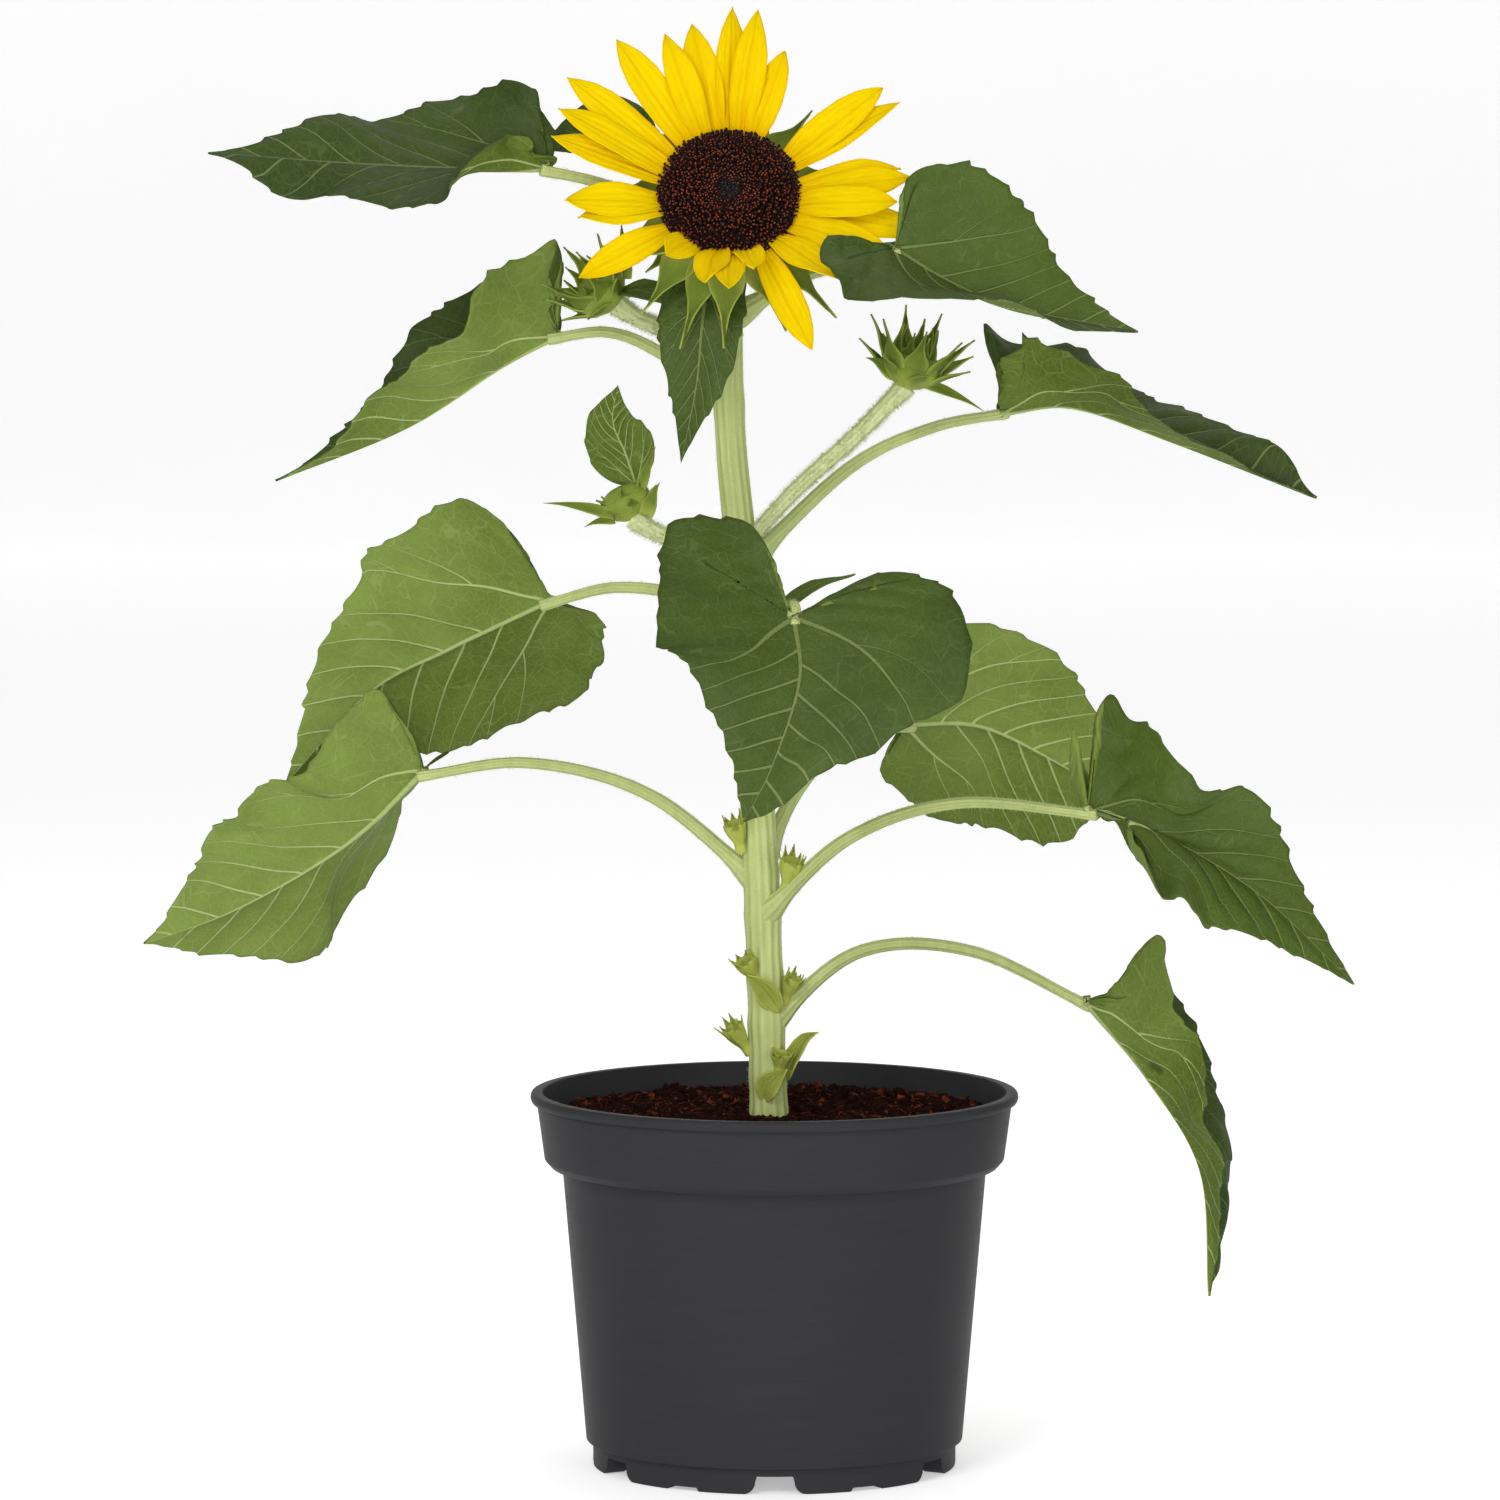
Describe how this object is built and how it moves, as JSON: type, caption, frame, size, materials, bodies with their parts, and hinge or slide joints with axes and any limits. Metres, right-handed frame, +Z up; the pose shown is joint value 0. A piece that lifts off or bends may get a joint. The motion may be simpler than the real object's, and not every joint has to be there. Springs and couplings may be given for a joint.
{
  "type": "potted sunflower plant",
  "caption": "Potted sunflower plant with an open yellow bloom, green buds and broad heart-shaped leaves in a round black nursery pot.",
  "frame": {"origin": "centre of the pot's flat underside", "axes": "+Z up along the pot's axis, -Y towards the side that the bloom faces, +X to the right seen from that side"},
  "size_m": [0.4736, 0.2379, 0.5644],
  "materials": {
    "pot_black": "satin black moulded plastic",
    "soil": "dark crumbly moist potting soil",
    "stem_green": "pale yellow-green, ribbed and hairy",
    "leaf_green": "matte green, veined and rough",
    "bud_green": "matte green, hairy",
    "petal_yellow": "satin yellow, finely grooved",
    "disc_brown": "matte maroon-brown florets"
  },
  "bodies": {
    "root": {"bloom_calyx": "bud_green", "bloom_disc": "disc_brown", "bloom_petals": "petal_yellow", "bud_axil_1": "bud_green", "bud_axil_2": "bud_green", "bud_axil_3": "bud_green", "bud_axil_4": "bud_green", "bud_axil_5": "bud_green", "bud_axil_6": "bud_green", "bud_left": "bud_green", "bud_middle": "bud_green", "bud_right": "bud_green", "leaf_axil_front": "leaf_green", "leaf_back": "leaf_green", "leaf_bottom_right": "leaf_green", "leaf_bud_left": "leaf_green", "leaf_bud_middle": "leaf_green", "leaf_centre_front": "leaf_green", "leaf_lower_left": "leaf_green", "leaf_lower_right": "leaf_green", "leaf_middle_left": "leaf_green", "leaf_middle_right": "leaf_green", "leaf_small_behind_bloom": "leaf_green", "leaf_small_front": "leaf_green", "leaf_top_left": "leaf_green", "leaf_top_right": "leaf_green", "leaf_upper_left": "leaf_green", "leaf_upper_right": "leaf_green", "petiole_back": "stem_green", "petiole_bottom_right_inner": "stem_green", "petiole_bottom_right_outer": "stem_green", "petiole_centre_front": "stem_green", "petiole_lower_left_inner": "stem_green", "petiole_lower_left_outer": "stem_green", "petiole_lower_right_inner": "stem_green", "petiole_lower_right_outer": "stem_green", "petiole_middle_left": "stem_green", "petiole_middle_right": "stem_green", "petiole_small_behind_bloom": "stem_green", "petiole_small_front": "stem_green", "petiole_top_left": "stem_green", "petiole_top_right": "stem_green", "petiole_upper_left": "stem_green", "petiole_upper_right": "stem_green", "pot": "pot_black", "scale_low_front": "leaf_green", "scale_low_right": "leaf_green", "scale_mid_left": "leaf_green", "soil": "soil", "stalk_bud_left": "stem_green", "stalk_bud_middle": "stem_green", "stalk_bud_right": "stem_green", "stem": "stem_green"}
  },
  "joints": []
}
